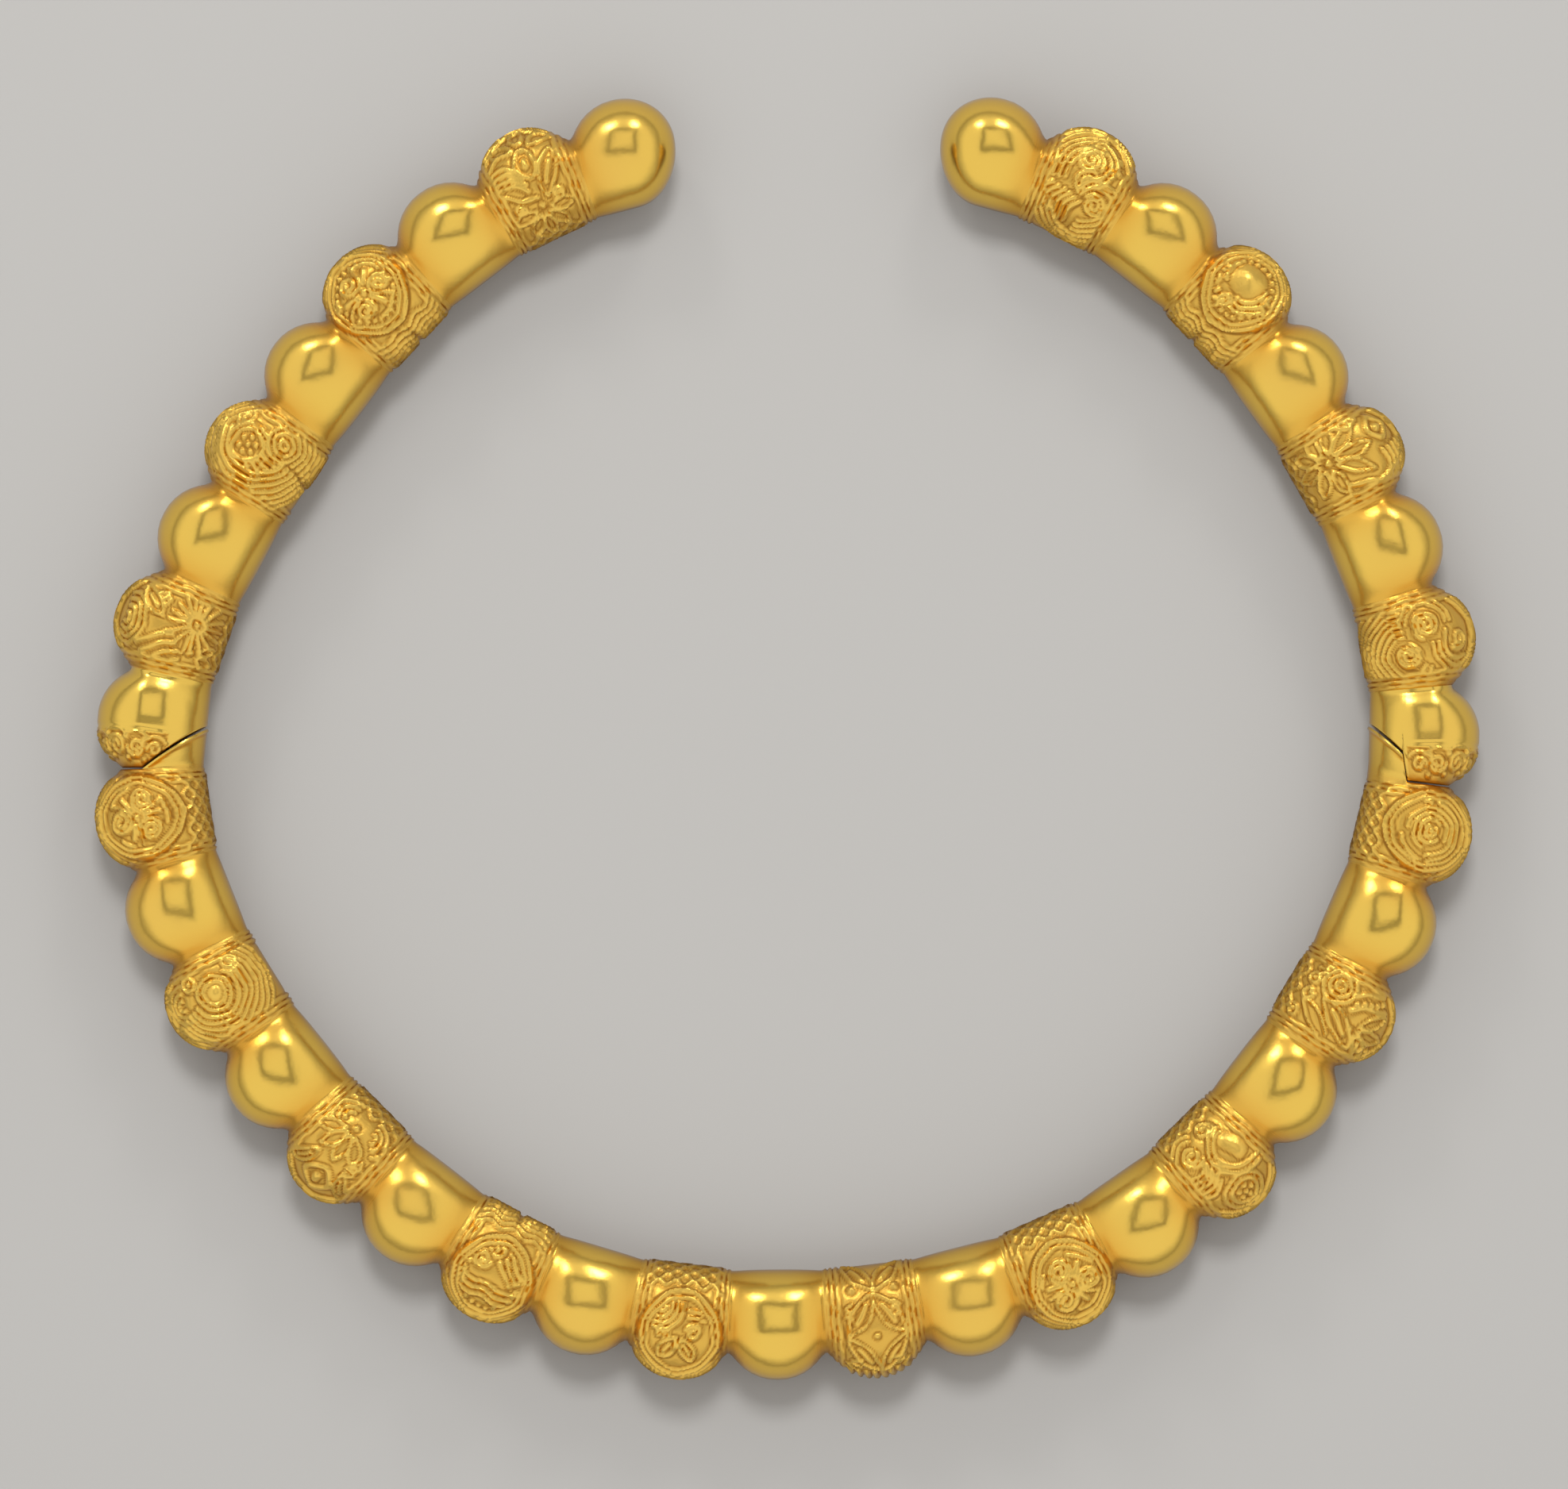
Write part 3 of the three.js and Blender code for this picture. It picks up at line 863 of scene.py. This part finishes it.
def bend_onto_hoop(bench, entry, geometry):
    """Carries a straight row (run, out, up) onto the hoop line and gives it its finish."""
    tree = bench.tree
    path = bench.node("GeometryNodeObjectInfo", {"transform_space": "ORIGINAL"},
                      {"Object": Wire(tree, entry.outputs["Hoop line"])}, "Geometry")
    position = bench.node("GeometryNodeInputPosition")
    parts = bench.node("ShaderNodeSeparateXYZ", None, {"Vector": position}).socket.node
    run, out, up = (Wire(tree, parts.outputs[axis]) for axis in "XYZ")
    sample = bench.node("GeometryNodeSampleCurve", {"mode": "LENGTH", "use_all_curves": True},
                        {"Curves": path, "Length": run}).socket.node
    tangent = Wire(tree, sample.outputs["Tangent"])
    outwards = bench.node("ShaderNodeVectorMath", {"operation": "CROSS_PRODUCT"},
                          {0: tangent, 1: (0.0, 0.0, 1.0)})
    outwards = bench.node("ShaderNodeVectorMath", {"operation": "NORMALIZE"}, {0: outwards})
    shift = bench.node("ShaderNodeVectorMath", {"operation": "SCALE"},
                       {0: outwards, "Scale": out})
    lift = bench.node("ShaderNodeCombineXYZ", None, {"Z": up})
    placed = bench.node("ShaderNodeVectorMath", {"operation": "ADD"},
                        {0: Wire(tree, sample.outputs["Position"]), 1: shift})
    placed = bench.node("ShaderNodeVectorMath", {"operation": "ADD"}, {0: placed, 1: lift})
    solid = bench.node("GeometryNodeRealizeInstances", None, {"Geometry": geometry})
    bent = bench.node("GeometryNodeSetPosition", None, {"Geometry": solid, "Position": placed})
    outward = bench.node("GeometryNodeFlipFaces", None, {"Mesh": bent})
    smooth = bench.node("GeometryNodeSetShadeSmooth", None, {"Geometry": outward})
    finished = bench.node("GeometryNodeSetMaterial", None, {
        "Geometry": smooth, "Material": Wire(tree, entry.outputs["Finish"])})
    leave = tree.nodes.new("NodeGroupOutput")
    tree.links.new(finished.socket, leave.inputs["Geometry"])


bend_tree, bend_bench, bend_entry = new_tree("row_on_hoop", (
    ("Geometry", "NodeSocketGeometry"),
    ("Hoop line", "NodeSocketObject"),
    ("Finish", "NodeSocketMaterial"),
))
bend_onto_hoop(bend_bench, bend_entry, Wire(bend_tree, bend_entry.outputs["Geometry"]))


def run_tree(made, tree, values):
    """Puts a tree on an object, sets its inputs and keeps the finished mesh in its place."""
    modifier = made.modifiers.new(tree.name, "NODES")
    modifier.node_group = tree
    for item in tree.interface.items_tree:
        if item.item_type == "SOCKET" and item.in_out == "INPUT" and item.name in values:
            modifier[item.identifier] = values[item.name]
    bpy.context.view_layer.update()
    evaluated = made.evaluated_get(bpy.context.evaluated_depsgraph_get())
    finished = bpy.data.meshes.new_from_object(evaluated)
    made.modifiers.remove(modifier)
    made.data = finished
    finished.name = made.name
    finished.set_sharp_from_angle(angle=math.radians(62))
    return made


def settle(row, name, node):
    """Bends a row of beads onto the hoop and stands it in for its CAD node."""
    made = row.to_object(name)
    run_tree(made, bend_tree, {"Hoop line": hoop, "Finish": gold})
    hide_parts(node)
    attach(made, "root")
    return made


back = RowMesh()
blocks = [tongue_block(LEFT_JOINT, 1, LEFT_BEADS[-1])]
blocks += [bead_block(number) for number in BACK_BEADS]
blocks += [tongue_block(RIGHT_JOINT, -1, RIGHT_BEADS[0])]
back.add_loops(np.concatenate(blocks))
back.close_flat(0, first=True)
back.close_flat(len(back.points) - COLUMNS, first=False)
back_arc = settle(back, "back_arc_beads", "back_arc")


# ---- Arms ----------------------------------------------------------------------------------
# The two front parts, nine beads each, made of the same raised sheet. The last bead of each
# is plain and rounded off as the terminal; the first is cut on a slant to seat the tongue and
# carries a band of little curls along the joint.

TERMINAL_LENGTH = 5.6
TERMINAL_ROWS = 18


def terminal_block(number, side):
    """Rows of a terminal's free half, from near its tip to its widest."""
    slope = math.pi / 2 * (np.arange(TERMINAL_ROWS, 0, -1) / (TERMINAL_ROWS + 1))
    offset = side * TERMINAL_LENGTH * np.sin(slope)[:, None] * np.ones(COLUMNS)
    reach = bead_reach(np.zeros(COLUMNS), False, COS, SIN) * np.cos(slope)[:, None]
    skin = np.zeros(offset.shape)
    block = np.stack([bead_middle(number) + offset, reach, skin, skin], -1)
    return block if side < 0 else block[::-1]


def seam_curls():
    """Little curls, knobs and leaves along the joint."""
    strokes = []
    for place, out, radius, hand in ((3.2, -1.3, 0.85, 1), (2.9, 0.9, 1.1, -1), (2.7, 3.4, 1.15, 1),
                                     (3.0, 5.8, 1.0, -1), (3.1, 8.0, 0.9, 1)):
        strokes += scroll((place, out), radius, 90, hand)
        strokes += knobs((place - 1.1, out + 1.2), radius=0.45) + knobs((place + 1.1, out + 1.2), radius=0.4)
        strokes += chase(ring((place, out), radius + 0.62, 100, 140), width=0.3, rise=0.2)
    return strokes + chase(line((1.2, -2.2), (1.0, 1.0), (0.9, 4.0), (1.4, 9.0)), width=0.3, rise=0.09)


def seam_bead_block(joint, side, number):
    """Rows of an arm's first bead, cut along the joint."""
    share = np.arange(CHASED_ROWS + 1)[:, None] / CHASED_ROWS
    depth = joint_depth(joint, side, number, JOINT_GAP) + JOINT_GAP
    length = BEAD_PITCH - depth
    offset = -BEAD_PITCH / 2 + share * length
    turns = np.broadcast_to(TURNS, offset.shape)
    reach, groove, chased = bead_skin(number, side * offset, turns)
    across = ((math.pi / 2 - turns + math.pi) % (2 * math.pi) - math.pi) * PLAIN_RADIUS
    height, dip = chased_relief(seam_curls(), offset.ravel(), across.ravel())
    edge = (1 - share) * length
    fade = np.clip(edge / 0.35, 0, 1)
    reach = reach + height.reshape(offset.shape) * fade - 0.22 * (1 - fade) ** 2
    groove = np.maximum(groove, dip.reshape(offset.shape))
    # Painted shade along the cut edge at the joint.
    groove = np.maximum(groove, np.exp(-((edge / 0.3) ** 2)))
    band = np.clip((offset - 1.0) / 0.6, 0, 1) * np.clip((across + 3) / 0.6, 0, 1)
    groove = np.where(band < 0.5, 0, groove)
    chased = np.maximum(chased, band)
    block = np.stack([bead_middle(number) + side * offset, reach, groove, chased], -1)
    return block if side > 0 else block[::-1]


left = RowMesh()
blocks = [terminal_block(LEFT_BEADS[0], -1)]
terminal_rows = bead_rows(0)
blocks += [bead_block(LEFT_BEADS[0], terminal_rows[terminal_rows > -0.01])]
blocks += [bead_block(number) for number in LEFT_BEADS[1:-1]]
blocks += [seam_bead_block(LEFT_JOINT, 1, LEFT_BEADS[-1])]
left.add_loops(np.concatenate(blocks))
left.close_tip_row = 0
left.close_flat(len(left.points) - COLUMNS, first=False)
left.close_with_tip(0, bead_middle(LEFT_BEADS[0]) - TERMINAL_LENGTH, first=True)
left_arm = settle(left, "left_arm_beads", "left_arm")

right = RowMesh()
blocks = [seam_bead_block(RIGHT_JOINT, -1, RIGHT_BEADS[0])]
blocks += [bead_block(number) for number in RIGHT_BEADS[1:-1]]
blocks += [bead_block(RIGHT_BEADS[-1], terminal_rows[terminal_rows < 0.01])]
blocks += [terminal_block(RIGHT_BEADS[-1], 1)]
right.add_loops(np.concatenate(blocks))
last_row = len(right.points) - COLUMNS
right.close_flat(0, first=True)
right.close_with_tip(last_row, bead_middle(RIGHT_BEADS[-1]) + TERMINAL_LENGTH, first=False)
right_arm = settle(right, "right_arm_beads", "right_arm")


bpy.data.objects.remove(hoop)


# ---- Table and light -----------------------------------------------------------------------
# A plain pale table under a broad overhead panel, with two window-like softboxes beyond the
# opening of the ring and a dim surround that gives the gold something dark to mirror.

low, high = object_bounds()
TABLE_SIZE = 3.0
table_mesh = bpy.data.meshes.new("table")
half = TABLE_SIZE / 2
table_mesh.from_pydata(
    [(-half, -half, 0), (half, -half, 0), (half, half, 0), (-half, half, 0)], [], [(0, 1, 2, 3)]
)
table = bpy.data.objects.new("table", table_mesh)
bpy.context.scene.collection.objects.link(table)
table_paint = bpy.data.materials.new("table_paint")
table_paint.use_nodes = True
table_shader = table_paint.node_tree.nodes["Principled BSDF"]
table_shader.inputs["Base Color"].default_value = (0.46, 0.452, 0.44, 1)
table_shader.inputs["Roughness"].default_value = 0.8
table_mesh.materials.append(table_paint)


def softbox(name, azimuth, elevation, distance, width, height, power, tint=(1, 1, 1)):
    """A soft panel of light that faces the ring."""
    lamp = bpy.data.lights.new(name, "AREA")
    lamp.shape = "RECTANGLE"
    lamp.size, lamp.size_y = width, height
    lamp.energy = power
    lamp.color = tint
    made = bpy.data.objects.new(name, lamp)
    turn, tilt = math.radians(azimuth), math.radians(elevation)
    place = distance * Vector((math.cos(tilt) * math.sin(turn), math.cos(tilt) * math.cos(turn), math.sin(tilt)))
    made.location = place
    made.rotation_euler = place.to_track_quat("Z", "Y").to_euler()
    bpy.context.scene.collection.objects.link(made)
    return made


softbox("window_left", -25, 29, 1.3, 0.26, 0.22, 1.7, (1, 0.985, 0.95))
softbox("window_right", 20, 29, 1.3, 0.26, 0.22, 1.7, (1, 0.985, 0.95))

key = softbox("key", 0, 62, 1.5, 0.34, 0.34, 9.0)
key.visible_glossy = False

ROOM_LIGHT = 0.84
HORIZON_LIGHT = 0.22
PANE_MIDDLE = (0.02, 0.18)
PANE_HALF = (0.165, 0.165)
PANE_BAR = 0.065
PANE_DARK = 0.82

world = bpy.data.worlds.new("studio")
world.use_nodes = True
world.node_tree.nodes.clear()
room = Wire(world.node_tree)
towards = room.node("ShaderNodeTexCoord", output="Generated")
axes = room.node("ShaderNodeSeparateXYZ", None, {0: towards}).socket.node
x, y, z = (Wire(world.node_tree, axes.outputs[axis]) for axis in "XYZ")
spread = room.maths("SQRT", 2 + 2 * z)
across = room.maths("ABSOLUTE", room.maths("DIVIDE", x, spread) - PANE_MIDDLE[0]) - PANE_HALF[0]
along = room.maths("ABSOLUTE", room.maths("DIVIDE", y, spread) - PANE_MIDDLE[1]) - PANE_HALF[1]
past = room.maths("MAXIMUM", across, along)
within = room.maths("ABSOLUTE", past - PANE_BAR / 2)
bar_share = ((PANE_BAR / 2 + 0.02 - within) * 25).clamped()
rise = (z * 2.5).clamped()
light = HORIZON_LIGHT + (ROOM_LIGHT - HORIZON_LIGHT) * rise
light = light * (1 - PANE_DARK * bar_share)
background = room.node("ShaderNodeBackground", None, {"Color": (1, 0.985, 0.96, 1), "Strength": light})
room.node("ShaderNodeOutputWorld", None, {"Surface": background})
bpy.context.scene.world = world
bpy.context.scene.view_settings.view_transform = "Standard"

VIEW_WIDTH = 0.1695
VIEW_DISTANCE = 0.9
SENSOR = 36.0
camera_data = bpy.data.cameras.new("camera")
camera_data.sensor_width = SENSOR
camera_data.lens = SENSOR * VIEW_DISTANCE / VIEW_WIDTH
camera_data.clip_start = 0.01
camera = bpy.data.objects.new("camera", camera_data)
camera.location = (-0.00046, -0.00064, AXIS_HEIGHT * MM + VIEW_DISTANCE)
bpy.context.scene.collection.objects.link(camera)
bpy.context.scene.camera = camera
